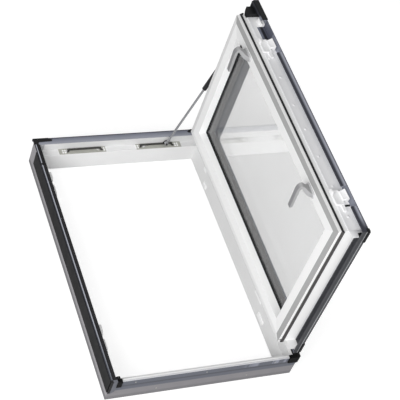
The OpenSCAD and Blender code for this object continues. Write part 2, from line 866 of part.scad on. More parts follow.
// Latch that slides on the rail and carries the tongue
module latch(y)
    swing()
        translate([0, y, 0])
            difference() {
                union() {
                    translate([0, latch_y0, 0])
                        rotate([90, 0, 0])
                            mirror([0, 0, 1])
                                linear_extrude(latch_len)
                                    polygon([[-lock_x - gap, latch_z], [-lock_x - rail_h, latch_z], [-latch_x, tongue_z + tongue_h],
                                        [-latch_x, clad_z0 + 1], [-lock_x - gap, clad_z0 + 1]]);
                    translate([0, latch_y0 + leaf_t, 0])
                        rotate([90, 0, 0])
                            mirror([0, 0, 1])
                                linear_extrude(latch_len * 0.75)
                                    polygon([[-lock_x - gap, clad_z0], [-latch_x, clad_z0], [-lock_x - latch_h, clad_z0 + leaf_t],
                                        [-lock_x - latch_h, clad_z1 - 2 * clad_t], [-lock_x - gap, clad_z1 - 2 * clad_t]]);
                    translate([-lock_x - tongue_l, tongue_y - tongue_w / 2, tongue_z])
                        cube([tongue_l - gap, tongue_w, tongue_h]);
                }
                translate([-lock_x - rail_h - gap, -2 * latch_len, rail_z - gap])
                    cube([rail_h + gap, 4 * latch_len, rail_w + 2 * gap]);
            }

module latch_upper() color(white) latch(keeper_y);

module latch_lower() color(white) latch(-keeper_y);

// Handles
module rosettes() color([0.72, 0.72, 0.72])
    swing()
        for (y = handle_ys)
            translate([handle_x, y, sash_z - rosette_t])
                difference() {
                    union() {
                        for (s = [-1, 1])
                            translate([0, s * rosette_l / 2, 0])
                                cylinder(r = rosette_r, h = rosette_t);
                        translate([-rosette_r, -rosette_l / 2, 0])
                            cube([2 * rosette_r, rosette_l, rosette_t]);
                    }
                    translate([0, 0, -eps])
                        cylinder(r = neck_r + fit, h = rosette_t - 2);
                }

// Side view of the lever: a bowed neck, a bend and a tapered grip
module lever_side() {
    knee = [-bow, -grip_d * 0.8];
    bend = [-bow / 3, -grip_d];
    hull() {
        translate([0, -rosette_t - neck_r - 1]) circle(r = neck_r + 1);
        translate([-bow * 0.8, -grip_d * 0.6]) circle(r = neck_r);
    }
    hull() {
        translate([-bow * 0.8, -grip_d * 0.6]) circle(r = neck_r);
        translate(knee) circle(r = neck_r);
    }
    hull() {
        translate(knee) circle(r = neck_r);
        translate(bend) circle(r = neck_r - 1);
    }
    hull() {
        translate(bend) circle(r = neck_r - 1);
        translate([grip_l - grip_r, -grip_d + 1]) circle(r = grip_r);
    }
}

module lever(y)
    swing()
        translate([handle_x, y, sash_z]) {
            rotate([90, 0, 0])
                linear_extrude(lever_w, center = true)
                    lever_side();
            translate([0, 0, -rosette_t - neck_r])
                cylinder(r = neck_r, h = neck_r + rosette_t - 3);
        }

module lever_upper() color([0.66, 0.66, 0.67]) lever(handle_ys[0]);

module lever_lower() color([0.66, 0.66, 0.67]) lever(handle_ys[1]);

// Gas spring
module gas_place()
    translate([gas_x, gas_y, gas_z])
        rotate([0, gas_tilt, 0])
            children();

module gas_bracket() color(black) {
    y0 = gas_y + eye_w / 2 + gap;
    z0 = ledge_z + stay_t;
    translate([gas_x - eye_r, y0, z0])
        cube([2 * eye_r, wall_y - y0, leaf_t]);
    translate([gas_x - eye_r, y0, z0])
        cube([2 * eye_r, leaf_t, gas_z - z0]);
    translate([gas_x, y0 + leaf_t, gas_z])
        rotate([90, 0, 0])
            cylinder(r = eye_r, h = leaf_t);
    translate([gas_x, y0 + leaf_t, gas_z])
        rotate([90, 0, 0])
            cylinder(r = stud_r, h = eye_w + gap + leaf_t + 2);
}

module gas_rod() color([0.7, 0.7, 0.71])
    gas_place()
        difference() {
            union() {
                rotate([90, 0, 0])
                    cylinder(r = eye_r, h = eye_w, center = true);
                cylinder(r = rod_r, h = rod_end);
            }
            rotate([90, 0, 0])
                cylinder(r = stud_r + fit, h = 2 * eye_w, center = true);
        }

module gas_tube() color(black)
    gas_place()
        difference() {
            union() {
                translate([0, 0, tube_z])
                    cylinder(r = tube_r, h = tube_l);
                translate([0, 0, tube_z + tube_l - eps])
                    cylinder(r = stud_r + 1.5, h = gas_end);
                translate([0, 0, gas_len])
                    rotate([90, 0, 0])
                        cylinder(r = eye_r, h = eye_w, center = true);
                translate([0, 0, gas_len])
                    rotate([90, 0, 0])
                        cylinder(r = stud_r, h = gas_y - head_y - plate_t - gap);
            }
            translate([0, 0, tube_z - eps])
                cylinder(r = rod_r + fit, h = tube_l - 4);
        }

module gas_sash_plate() color(steel)
    swing()
        translate([gas_sx - plate_l / 2, head_y, gas_sz - plate_h / 2])
            cube([plate_l, plate_t, plate_h]);

// Screw heads and rivets
module head_z(x, y, z)
    translate([x, y, z])
        cylinder(r = screw_r, h = screw_h);

module screws() color(steel) {
    pitch = 3 * screw_r;
    for (m = [-1, 1], e = [-1, 1], r = [1, 2], a = [1, 2])
        head_z(m * stay_x + e * (stay_l / 2 - a * pitch + screw_r), open_l / 2 + r * pitch - screw_r / 2, ledge_z + stay_t);
    for (x = [-1, 0, 1])
        translate([x * (frame_w / 2 - 2.4 * block_w), -frame_l / 2 - skin_t, (apron_z + frame_h) / 2 + screw_r])
            rotate([90, 0, 0])
                cylinder(r = screw_r - 0.5, h = screw_h / 2);
}

frame_head();
frame_sill();
frame_jamb_lock();
frame_jamb_hinge();
casing_head();
casing_sill();
casing_lock();
casing_hinge();
channel_lock();
channel_hinge();
cover_head();
cover_sill();
rib_lock();
rib_hinge();
strip_lock();
strip_hinge();
corner_head_lock();
corner_head_hinge();
corner_sill_lock();
corner_sill_hinge();
corner_end();
stay_plate_left();
stay_plate_right();
stay_slides();
keeper_upper();
keeper_lower();
hinge_frame_upper();
hinge_frame_lower();
hinge_pins();
hinge_sash_upper();
hinge_sash_lower();
sash_head();
sash_sill();
sash_stile_lock();
sash_stile_hinge();
sash_gasket();
glazing_gasket();
pane_inner();
pane_middle();
pane_outer();
spacers();
clad_head();
clad_sill();
clad_lock();
clad_hinge();
clad_corner_head_lock();
clad_corner_sill_lock();
clad_corner_head_hinge();
clad_corner_sill_hinge();
lock_strip();
latch_upper();
latch_lower();
rosettes();
lever_upper();
lever_lower();
gas_bracket();
gas_rod();
gas_tube();
gas_sash_plate();
screws();
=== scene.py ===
import math

import bmesh
import bpy
from mathutils import Matrix, Vector


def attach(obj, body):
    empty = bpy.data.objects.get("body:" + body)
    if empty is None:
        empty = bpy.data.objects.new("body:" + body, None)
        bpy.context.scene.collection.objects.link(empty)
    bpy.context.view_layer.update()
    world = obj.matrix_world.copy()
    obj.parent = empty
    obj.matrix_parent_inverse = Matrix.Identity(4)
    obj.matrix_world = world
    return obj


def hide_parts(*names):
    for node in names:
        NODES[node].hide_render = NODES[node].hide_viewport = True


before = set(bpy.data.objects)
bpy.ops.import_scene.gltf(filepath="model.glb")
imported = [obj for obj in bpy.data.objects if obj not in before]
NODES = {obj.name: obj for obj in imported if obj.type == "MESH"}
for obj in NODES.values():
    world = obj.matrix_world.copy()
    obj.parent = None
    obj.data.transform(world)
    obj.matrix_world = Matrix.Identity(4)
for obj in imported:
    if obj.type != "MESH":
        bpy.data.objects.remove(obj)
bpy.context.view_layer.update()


# Colours

def linear(level):
    """A display level of 0 to 255 as a light value."""
    part = level / 255
    return part / 12.92 if part <= 0.04045 else ((part + 0.055) / 1.055) ** 2.4


def shade(red, green, blue):
    """A display colour as a shader colour."""
    return (linear(red), linear(green), linear(blue), 1.0)


def grey(level):
    """A neutral display colour as a shader colour."""
    return shade(level, level, level)


# Shader trees

EVEN = (1.0, 1.0, 1.0)
GRAIN_DETAIL = 3.0
RELIEF_DEPTH = 0.0004


class Wire:
    """A socket of a shader tree; sums on it add Math nodes."""

    def __init__(self, finish, socket):
        self.finish = finish
        self.socket = socket

    def _sum(self, operation, first, second):
        return self.finish.node("ShaderNodeMath", sockets={0: first, 1: second}, operation=operation)

    def __add__(self, other):
        return self._sum("ADD", self, other)

    def __radd__(self, other):
        return self._sum("ADD", other, self)

    def __sub__(self, other):
        return self._sum("SUBTRACT", self, other)

    def __rsub__(self, other):
        return self._sum("SUBTRACT", other, self)

    def __mul__(self, other):
        return self._sum("MULTIPLY", self, other)

    def __rmul__(self, other):
        return self._sum("MULTIPLY", other, self)

    def __gt__(self, other):
        return self._sum("GREATER_THAN", self, other)

    def __lt__(self, other):
        return self._sum("LESS_THAN", self, other)


class Finish:
    """A material under construction."""

    def __init__(self, name):
        self.material = bpy.data.materials.new(name)
        self.material.use_nodes = True
        self.tree = self.material.node_tree
        self.tree.nodes.clear()

    def node(self, kind, output=0, sockets=None, **settings):
        """Adds a node: its settings first, then the values or links of its sockets."""
        made = self.tree.nodes.new(kind)
        for key, value in settings.items():
            setattr(made, key, value)
        for key, value in (sockets or {}).items():
            if isinstance(value, Wire):
                self.tree.links.new(value.socket, made.inputs[key])
            else:
                made.inputs[key].default_value = value
        return Wire(self, made.outputs[output])

    def grain(self, scale, stretch=EVEN):
        """Noise on the piece's own coordinates, about 0 to 1."""
        place = self.node("ShaderNodeTexCoord", output="Object")
        turned = self.node("ShaderNodeMapping", sockets={"Vector": place, "Scale": stretch})
        return self.node("ShaderNodeTexNoise", sockets={"Vector": turned, "Scale": scale, "Detail": GRAIN_DETAIL})

    def along(self, axis):
        """One of the piece's own coordinates, in metres."""
        place = self.node("ShaderNodeTexCoord", output="Object")
        return self.node("ShaderNodeSeparateXYZ", output=axis, sockets={0: place})

    def facing(self, axis):
        """How far the surface looks along one of the piece's own axes, -1 to 1."""
        turned = self.node("ShaderNodeTexCoord", output="Normal")
        return self.node("ShaderNodeSeparateXYZ", output=axis, sockets={0: turned})

    def ramp(self, wire, start, end):
        """0 at one value, 1 at another, held beyond them."""
        return self.node("ShaderNodeMapRange", sockets={0: wire, 1: start, 2: end, 3: 0.0, 4: 1.0})

    def blend(self, factor, first, second):
        """Mix of two colours."""
        return self.node("ShaderNodeMix", output=2, sockets={0: factor, 6: first, 7: second}, data_type="RGBA")

    def painted(self, tone, *layers):
        """A tone with others laid over it in turn, each through its mask."""
        for mask, over in layers:
            tone = self.blend(mask, tone, over)
        return tone

    def close(self, shader):
        """Sends a shader to the surface."""
        surface = self.tree.nodes.new("ShaderNodeOutputMaterial")
        self.tree.links.new(shader.socket, surface.inputs["Surface"])
        return self.material

    def skin(self, tone, cloud, rough, spread, fine, relief, metal=0.0, specular=0.5, stretch=EVEN):
        """Closes the material: the gloss follows a cloud, the relief is a fine grain."""
        sockets = {
            "Base Color": tone,
            "Roughness": (cloud - 0.5) * spread + rough,
            "Metallic": metal,
            "Specular IOR Level": specular,
        }
        if relief:
            sockets["Normal"] = self.node("ShaderNodeBump", sockets={
                "Height": self.grain(fine, stretch), "Strength": relief, "Distance": RELIEF_DEPTH})
        return self.close(self.node("ShaderNodeBsdfPrincipled", sockets=sockets))


# Finishes; their places are the piece's own, in metres, with the sash open

ROOF_PALE, ROOF_DEEP = shade(124, 128, 141), shade(112, 116, 129)
ROOF_FACING = 0.3  # faces that look further along X belong to the roof side
BEVEL_X = 0.2935
CLAD_EDGE_X = 0.3715
SILL_END_Y = -0.543


def coat(name, pale, deep, rough, spread, scale, stretch=EVEN, relief=0.0, metal=0.0, specular=0.5):
    """Even surface finish with a faint cloud in colour, gloss and relief."""
    f = Finish(name)
    cloud = f.grain(scale, stretch)
    return f.skin(f.blend(cloud, pale, deep), cloud, rough, spread, scale * 14, relief, metal, specular, stretch)


def banded(name, axis, limit, beyond, band, level, end=252):
    """White profile whose bevelled outer band, on one side of a limit, has its own grey as painted shade; its end
    face has painted light and shade of its own.
    """
    f = Finish(name)
    cloud = f.grain(9.0)
    reach, across = f.along(axis), f.along("X")
    bevel = (reach > limit if beyond else reach < limit) * (across < BEVEL_X)
    foot = f.along("Y") < SILL_END_Y
    tone = f.painted(
        f.blend(cloud, grey(level), grey(level - 6)),
        # The end face's grey is painted: light at the paler default, shade at the hinge stile's lower grey; beyond
        # the cladding's edge it is painted shade.
        (foot, grey(end)),
        (foot * (across > CLAD_EDGE_X), shade(86, 87, 91)),
        # The bevelled band's grey is painted shade.
        (bevel, f.blend(cloud, grey(band), grey(band - 8))))
    return f.skin(tone, cloud, 0.36, 0.12, 120.0, 0.05)


def upstand(name):
    """White head of the frame; its wall behind the ledge lies in the shade of the cover."""
    f = Finish(name)
    cloud = f.grain(9.0)
    wall = f.along("Z") > 0.0885
    tone = f.painted(f.blend(cloud, grey(237), grey(231)), (wall, grey(216)))
    return f.skin(tone, cloud, 0.36, 0.12, 120.0, 0.05)


def lever_face(name):
    """Satin metal with painted shade on the faces turned from the sash."""
    f = Finish(name)
    cloud = f.grain(20.0)
    # Painted shade on the faces turned from the sash.
    painted_shade_faces = f.ramp(f.facing("X"), -0.25, -0.85)
    tone = f.painted(f.blend(cloud, shade(176, 176, 177), shade(167, 167, 168)), (painted_shade_faces, shade(138, 138, 140)))
    return f.skin(tone, cloud, 0.36, 0.14, 280.0, 0.08, metal=0.1)


def free_skirt(name):
    """Cladding of the free side: blue-grey face with a painted highlight streak, painted shade along its inner and
    outer edges and in a strip of the navy inner plate, dark ends.
    """
    f = Finish(name)
    cloud = f.grain(14.0)
    across, along, high = f.along("X"), f.along("Y"), f.along("Z")
    # Painted highlight streak across the face.
    painted_sheen = f.ramp(across, 0.3745, 0.3785) * f.ramp(across, 0.3835, 0.3800)
    # Painted shade along the outer edge.
    shaded_outer_edge = f.ramp(across, 0.3838, 0.3850) * (high > 0.9145)
    lower_end = f.ramp(along, -0.515, -0.565)
    # Painted shade along the inner edge.
    shaded_rim = f.ramp(across, 0.3745, 0.3690) * (high > 0.9) * (along < 0.4)
    plate = (high < 0.9139) * (along > 0.399) * (along < 0.474) * (across < 0.3868)
    # Painted shadow in a strip of the inner plate.
    shaded_groove = plate * (across > 0.3645) * (across < 0.3755)
    upper_end = f.ramp(along, 0.490, 0.500)
    roof = f.facing("X") > ROOF_FACING
    tone = f.painted(
        f.blend(cloud, shade(132, 135, 147), shade(122, 125, 137)),
        (painted_sheen, shade(166, 168, 178)),
        (shaded_outer_edge, shade(78, 80, 90)),
        (lower_end, shade(50, 52, 62)),
        (shaded_rim, shade(42, 44, 54)),
        (plate, shade(88, 91, 104)),
        (shaded_groove, shade(28, 29, 36)),
        (upper_end, shade(34, 35, 43)),
        (roof, f.blend(cloud, ROOF_PALE, ROOF_DEEP)))
    return f.skin(tone, cloud, 0.42, 0.14, 190.0, 0.12, metal=0.15)


def sill_skirt(name):
    """Cladding of the sill side: charcoal with a painted highlight line along the outer edge."""
    f = Finish(name)
    cloud = f.grain(14.0)
    across = f.along("X")
    # Painted highlight along the outer edge.
    line = (across > 0.3755) * (across < 0.3787) * (f.along("Y") < -0.58)
    roof = f.facing("X") > ROOF_FACING
    tone = f.painted(
        f.blend(cloud, shade(62, 63, 67), shade(54, 55, 59)),
        (line, shade(168, 169, 172)),
        (roof, f.blend(cloud, ROOF_PALE, ROOF_DEEP)))
    return f.skin(tone, cloud, 0.45, 0.14, 190.0, 0.12)


def head_skirt(name):
    """Cladding of the head side: nearly black at the free corner, apart from its roof face."""
    f = Finish(name)
    cloud = f.grain(14.0)
    corner = f.ramp(f.along("Z"), 0.84, 0.855) * (f.facing("X") < ROOF_FACING)
    tone = f.painted(f.blend(cloud, ROOF_PALE, ROOF_DEEP), (corner, shade(28, 29, 35)))
    return f.skin(tone, cloud, 0.42, 0.14, 196.0, 0.12, metal=0.2)


def lock_face(name):
    """Satin strip with painted light toward the skirt, against the shade the skirt casts."""
    f = Finish(name)
    cloud = f.grain(10.0, (1.0, 0.2, 1.0))
    # Painted light toward the skirt.
    painted_light_rise = f.ramp(f.along("X"), 0.340, 0.362)
    tone = f.painted(f.blend(cloud, shade(230, 230, 231), shade(223, 223, 225)), (painted_light_rise, grey(253)))
    return f.skin(tone, cloud, 0.4, 0.16, 140.0, 0.05)


def head_cover(name):
    """Cover of the head: a dark line along the outer edge, and a painted highlight that grows paler toward the
    opening.
    """
    f = Finish(name)
    cloud = f.grain(14.0, (0.3, 1.0, 1.0))
    deep = f.along("Y")
    tone = f.painted(
        f.blend(cloud, shade(120, 123, 136), shade(110, 113, 126)),
        # Painted highlight, paler toward the opening.
        (f.ramp(deep, 0.600, 0.578), shade(152, 155, 166)),
        (deep > 0.6025, shade(52, 54, 66)))
    return f.skin(tone, cloud, 0.42, 0.14, 190.0, 0.12, metal=0.15)


def sill_cover(name):
    """Cover of the sill: painted shade on the fold across the face, pale patches of painted reflection toward the
    hinge side.
    """
    f = Finish(name)
    cloud = f.grain(14.0, (0.3, 1.0, 1.0))
    high = f.along("Z")
    # Painted reflections: pale patches toward the hinge side.
    gloss = f.ramp(f.grain(48.0, (1.0, 0.1, 0.1)), 0.46, 0.58) * f.ramp(f.along("X"), 0.14, 0.22)
    tone = f.painted(
        f.blend(cloud, shade(108, 111, 121), shade(99, 102, 112)),
        (gloss * (high > 0.107), shade(150, 153, 166)),
        # Painted shade on the fold across the face.
        ((high > 0.096) * (high < 0.1055), shade(86, 89, 97)),
        (high > 0.1305, shade(206, 207, 210)))
    return f.skin(tone, cloud, 0.42, 0.14, 190.0, 0.12, metal=0.15)


def rib_face(name):
    """Rib of a jamb: a painted highlight on the inner half that dulls toward the sill, painted shade in navy on the
    outer half.
    """
    f = Finish(name)
    cloud = f.grain(14.0)
    side = f.along("X")
    tone = f.painted(
        f.blend(cloud, shade(182, 185, 195), shade(170, 173, 183)),
        # The painted highlight dulls toward the sill.
        (f.ramp(f.along("Y"), -0.32, -0.55), shade(108, 111, 120)),
        # Painted shade on the outer half.
        (side * side > 0.3866 ** 2, shade(48, 50, 58)))
    return f.skin(tone, cloud, 0.4, 0.14, 196.0, 0.1, metal=0.1)


def end_piece(name):
    """Metal end piece of the lock jamb, black on the half under the channel."""
    f = Finish(name)
    cloud = f.grain(14.0)
    tone = f.painted(
        f.blend(cloud, shade(108, 110, 118), shade(98, 100, 108)),
        (f.along("X") < -0.3815, shade(22, 22, 24)))
    return f.skin(tone, cloud, 0.45, 0.14, 190.0, 0.12, metal=0.1)


def casing_face(name, level):
    """Grey casing with a darker folded foot."""
    f = Finish(name)
    cloud = f.grain(12.0)
    foot = f.ramp(f.along("Z"), 0.037, 0.032)
    tone = f.painted(
        f.blend(cloud, shade(level, level - 2, level + 1), shade(level - 11, level - 13, level - 9)),
        (foot, shade(122, 121, 124)))
    return f.skin(tone, cloud, 0.5, 0.16, 168.0, 0.1)


def pane_glass(name):
    """Faintly grey glass that lets lamp light through."""
    f = Finish(name)
    tint = f.blend(f.grain(3.0), grey(254), grey(251))
    body = f.node("ShaderNodeBsdfPrincipled", sockets={
        "Base Color": tint, "Roughness": 0.0, "IOR": 1.45, "Transmission Weight": 1.0})
    film = f.node("ShaderNodeBsdfTransparent", sockets={"Color": shade(246, 247, 247)})
    shadow = f.node("ShaderNodeLightPath", output="Is Shadow Ray")
    return f.close(f.node("ShaderNodeMixShader", sockets={0: shadow, 1: body, 2: film}))


# White profiles
PVC = coat("white_profile", grey(242), grey(236), 0.36, 0.12, 9.0, relief=0.05)
UPSTAND = upstand("white_frame_head")
# The hinge jamb's darker white is painted shade.
SHADED = coat("white_hinge_jamb_painted_shade", grey(229), grey(223), 0.36, 0.12, 9.0, relief=0.05)
# Each sash member's white and band grey are painted light and shade: the free stile and sill rail darker, the head
# rail and hinge stile paler.
STILE_FREE = banded("white_free_stile", "Z", 0.854, True, 164, 237)
RAIL_SILL = banded("white_sill_rail", "Y", -0.521, False, 166, 242)
RAIL_HEAD = banded("white_head_rail", "Y", 0.522, True, 234, 249)
STILE_HINGE = banded("white_hinge_stile", "Z", 0.214, False, 244, 250, 226)

# Casings, covers and cladding
CASING = casing_face("grey_casing", 164)
# The sill casing's darker grey is painted shade.
CASING_SILL_SHADED = casing_face("grey_casing_sill_shaded", 139)
HEAD_COVER = head_cover("head_cover")
SILL_COVER = sill_cover("sill_cover")
SLATE = coat("blue_grey_cladding", ROOF_PALE, ROOF_DEEP, 0.42, 0.14, 14.0, relief=0.12, metal=0.2)
RIB = rib_face("blue_grey_rib_painted_highlight")
END_PIECE = end_piece("metal_end_piece")
FREE_SKIRT = free_skirt("free_side_cladding")
SILL_SKIRT = sill_skirt("charcoal_skirt")
HEAD_SKIRT = head_skirt("head_side_cladding")
GUSSET = coat("grey_gusset", shade(176, 176, 178), shade(164, 164, 167), 0.5, 0.14, 14.0, relief=0.08)

# Black mouldings and rubber
BLACK = coat("black_moulding", shade(20, 20, 22), shade(13, 13, 15), 0.5, 0.2, 20.0, relief=0.25, specular=0.3)
BAR = coat("dark_slide_bar", shade(58, 57, 55), shade(50, 49, 47), 0.45, 0.2, 20.0, relief=0.1)
JET = coat("jet_moulding", shade(9, 9, 10), shade(5, 5, 6), 0.55, 0.2, 20.0, relief=0.25, specular=0.2)
LIP = coat("grey_black_rubber", shade(82, 80, 80), shade(72, 70, 70), 0.7, 0.14, 24.0, relief=0.3, specular=0.25)
RUBBER = coat("black_rubber", shade(40, 40, 42), shade(30, 30, 32), 0.7, 0.14, 24.0, relief=0.3, specular=0.25)
SPACER = coat("dark_edge_bond", shade(52, 51, 52), shade(38, 37, 38), 0.5, 0.1, 12.0, relief=0.05)

# Fittings and glass
ZINC = coat("zinc_plate", shade(190, 190, 182), shade(172, 172, 164), 0.38, 0.16, 18.0,
            stretch=(1.0, 6.0, 6.0), relief=0.08, metal=0.4)
BRIGHT = coat("bright_screw", grey(248), grey(240), 0.3, 0.12, 18.0, relief=0.05)
FITTING = coat("white_fitting", grey(240), shade(231, 231, 232), 0.32, 0.12, 18.0, relief=0.05)
LOCK = lock_face("satin_strip")
# The strip's end piece is darker as painted shade, to meet the skirt's shade on the strip.
TAIL_FACE = coat("satin_strip_end_painted_shade", shade(222, 222, 223), shade(214, 214, 216), 0.4, 0.16, 14.0, relief=0.05)
LEVER = lever_face("satin_lever")
ROSETTE = coat("satin_rosette", shade(196, 196, 197), shade(187, 187, 189), 0.36, 0.14, 20.0, relief=0.08)
ROD = coat("ground_rod", shade(196, 197, 200), shade(176, 177, 181), 0.24, 0.1, 30.0, metal=0.8)
TUBE = coat("black_tube", shade(36, 36, 39), shade(27, 27, 29), 0.34, 0.12, 16.0, relief=0.05)
GLASS = pane_glass("pane_glass")

DRESS = {
    # Frame
    "frame_": PVC, "frame_head": UPSTAND, "frame_jamb_hinge": SHADED,
    "casing_": CASING, "casing_sill": CASING_SILL_SHADED, "channel_": BLACK,
    "cover_head": HEAD_COVER, "cover_sill": SILL_COVER, "rib_": RIB, "strip_": RUBBER,
    "corner_": BLACK, "corner_sill": JET, "corner_end": END_PIECE,
    "stay_": ZINC, "stay_slides": BLACK, "keeper_": FITTING,
    "hinge_": FITTING, "hinge_pins": ZINC, "screws": ZINC,
    # Sash
    "sash_head": RAIL_HEAD, "sash_sill": RAIL_SILL, "sash_stile_lock": STILE_FREE, "sash_stile_hinge": STILE_HINGE,
    "sash_gasket": RUBBER, "glazing_": RUBBER, "pane_": GLASS, "spacers": SPACER,
    "clad_": SLATE, "clad_head": HEAD_SKIRT, "clad_sill": SILL_SKIRT, "clad_lock": FREE_SKIRT, "clad_corner": BLACK,
    "lock_": LOCK, "latch_": FITTING, "rosettes": LEVER, "lever_": LEVER,
    # Gas spring
    "gas_bracket": BLACK, "gas_rod": ROD, "gas_tube": TUBE, "gas_sash": ZINC,
}


def dress(name, piece):
    """The longest matching name decides the finish."""
    key = max((k for k in DRESS if name.startswith(k)), key=len)
    piece.data.materials.clear()
    piece.data.materials.append(DRESS[key])


for node_name, node_piece in NODES.items():
    dress(node_name, node_piece)


# Modelling in the scene, in mm; pieces on the sash are made closed and then swung open

MM = 0.001
WELD = 0.00001
SHARP_ANGLE, SMOOTH_ANGLE = math.radians(35), math.radians(38)
HINGE_AT = Vector((0.379, 0.0, 0.155))
SWUNG_OPEN = (Matrix.Translation(HINGE_AT) @ Matrix.Rotation(math.pi / 2, 4, "Y")
              @ Matrix.Translation(-HINGE_AT))


def alone(piece):
    """Makes a piece the only one selected."""
    bpy.ops.object.select_all(action="DESELECT")
    piece.select_set(True)
    bpy.context.view_layer.objects.active = piece


def settle_place(piece):
    """Moves a piece's place into its mesh."""
    alone(piece)
    bpy.ops.object.transform_apply(location=True, rotation=True, scale=True)


def block(name, low, high):
    """Box between two corners."""
    bpy.ops.object.select_all(action="DESELECT")
    middle = [(a + b) / 2 * MM for a, b in zip(low, high)]
    bpy.ops.mesh.primitive_cube_add(size=1, location=middle)
    piece = bpy.context.object
    piece.name = name
    piece.scale = [(b - a) * MM for a, b in zip(low, high)]
    settle_place(piece)
    return piece


def rod(name, radius, start, end, sides=32):
    """Cylinder between two points."""
    bpy.ops.object.select_all(action="DESELECT")
    first, last = Vector(start) * MM, Vector(end) * MM
    way = last - first
    bpy.ops.mesh.primitive_cylinder_add(
        vertices=sides, radius=radius * MM, depth=way.length,
        location=(first + last) / 2, rotation=way.to_track_quat("Z", "Y").to_euler())
    piece = bpy.context.object
    piece.name = name
    settle_place(piece)
    return piece


def edit(piece):
    """Opens a piece for editing with nothing selected."""
    alone(piece)
    bpy.ops.object.mode_set(mode="EDIT")
    bpy.ops.mesh.select_all(action="DESELECT")


def pick(piece, kind, test):
    """Selects the faces or edges whose middle, in mm, and normal pass a test."""
    bpy.ops.mesh.select_mode(type=kind)
    bpy.ops.mesh.select_all(action="DESELECT")
    shape = bmesh.from_edit_mesh(piece.data)
    shape.normal_update()
    for part in (shape.faces if kind == "FACE" else shape.edges):
        middle = sum((v.co for v in part.verts), Vector()) / len(part.verts) / MM
        along = part.normal if kind == "FACE" else (part.verts[1].co - part.verts[0].co).normalized()
        part.select_set(bool(test(middle, along)))
    shape.select_flush_mode()
    bmesh.update_edit_mesh(piece.data)


def close_edit():
    """Turns all faces outwards and leaves edit mode."""
    bpy.ops.mesh.select_all(action="SELECT")
    bpy.ops.mesh.remove_doubles(threshold=WELD)
    bpy.ops.mesh.normals_make_consistent(inside=False)
    bpy.ops.object.mode_set(mode="OBJECT")


def modify(piece, kind, **settings):
    """Adds a modifier and applies it."""
    alone(piece)
    made = piece.modifiers.new(kind.lower(), kind)
    for key, value in settings.items():
        setattr(made, key, value)
    bpy.ops.object.modifier_apply(modifier=made.name)


def soften(piece, width, segments=3):
    """Rounds all sharp edges."""
    modify(piece, "BEVEL", width=width * MM, segments=segments, limit_method="ANGLE", angle_limit=SHARP_ANGLE)


def copied(piece, name, change):
    """Copy with its own mesh, moved by a matrix."""
    twin = bpy.data.objects.new(name, piece.data.copy())
    bpy.context.scene.collection.objects.link(twin)
    twin.matrix_world = change
    settle_place(twin)
    return twin


def joined(name, parts):
    """Several meshes as one piece."""
    bpy.ops.object.select_all(action="DESELECT")
    for part in parts:
        part.select_set(True)
    bpy.context.view_layer.objects.active = parts[0]
    if len(parts) > 1:
        bpy.ops.object.join()
    parts[0].name = name
    return parts[0]


def mount(piece, body, finish, slot, *nodes, swung=True):
    """Swings a piece open with the sash, dresses it and puts it on its body."""
    if swung:
        piece.matrix_world = SWUNG_OPEN
        settle_place(piece)
    alone(piece)
    bpy.ops.object.shade_smooth_by_angle(angle=SMOOTH_ANGLE)
    piece.data.materials.clear()
    piece.data.materials.append(finish)
    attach(piece, body)
    if nodes:
        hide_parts(*nodes)


def shift(x, y, z):
    """Move in mm."""
    return Matrix.Translation(Vector((x, y, z)) * MM)


# Levers: a flared foot drawn out into a bowed neck, a bend and a slim flat grip
HANDLE_X = -302.0
SASH_FACE = 66.0
HANDLE_Y = (366.0, -320.0)
LEVER_STEPS = 4
LEVER_PATH = (
    # across, below the face, lean, half width, half thickness
    (0, -5, 0, 24, 10), (0, -8, 0, 23.5, 9.8), (-4, -17, 14, 20.5, 9), (-13, -29, 30, 16.5, 8),
    (-24, -40, 34, 13, 7.2), (-31, -48, 8, 11, 6.6), (-29, -56, -42, 10.2, 6.2), (-18, -59.8, -78, 9.8, 5.9),
    (4, -59.4, -90, 9.5, 5.7), (40, -58, -91, 9.2, 5.5), (74, -57, -91, 9, 5.4), (81, -56.8, -91, 8.4, 5.1),
)


def drawn(points, steps):
    """The points of a path with smooth steps between them."""
    ends = (points[0],) + tuple(points) + (points[-1],)
    path = [points[0]]
    for i in range(1, len(ends) - 2):
        for step in range(1, steps + 1):
            t = step / steps
            path.append(tuple(
                0.5 * (2 * b + (c - a) * t + (2 * a - 5 * b + 4 * c - d) * t ** 2 + (3 * b - a - 3 * c + d) * t ** 3)
                for a, b, c, d in zip(*ends[i - 1:i + 3])))
    return path


def lever(name):
    """Lever at the sash's middle height."""
    bpy.ops.object.select_all(action="DESELECT")
    across, below, lean, wide, thick = LEVER_PATH[0]
    at = Vector((HANDLE_X + across, 0, SASH_FACE + below)) * MM
    bpy.ops.mesh.primitive_plane_add(size=2 * MM, location=at)
    piece = bpy.context.object
    piece.name = name
    piece.scale = (thick, wide, 1)
    settle_place(piece)
    edit(piece)
    bpy.ops.mesh.select_all(action="SELECT")
    for across, below, new_lean, new_wide, new_thick in drawn(LEVER_PATH, LEVER_STEPS)[1:]:
        to = Vector((HANDLE_X + across, 0, SASH_FACE + below)) * MM
        bpy.ops.mesh.extrude_region_move(TRANSFORM_OT_translate={"value": to - at})
        bpy.ops.transform.rotate(value=math.radians(lean - new_lean), orient_axis="Y", center_override=to)
        slim = new_thick / thick
        bpy.ops.transform.resize(value=(slim, new_wide / wide, slim), center_override=to)
        at, lean, wide, thick = to, new_lean, new_wide, new_thick
    close_edit()
    soften(piece, 1.5)
    return piece


lever_model = lever("lever_model")
for where, handle_y in zip(("upper", "lower"), HANDLE_Y):
    mount(copied(lever_model, "lever_" + where + "_form", shift(0, handle_y, 0)),
          "handle_" + where, LEVER, "handle", "lever_" + where)
bpy.data.objects.remove(lever_model)


# Rosettes: a domed oval with a cap screw at each end
ROSETTE_THICK, ROSETTE_RADIUS, ROSETTE_STRETCH = 6, 13, 21
CAP_SCREW_Y, CAP_SCREW_RADIUS = 26, 4.2


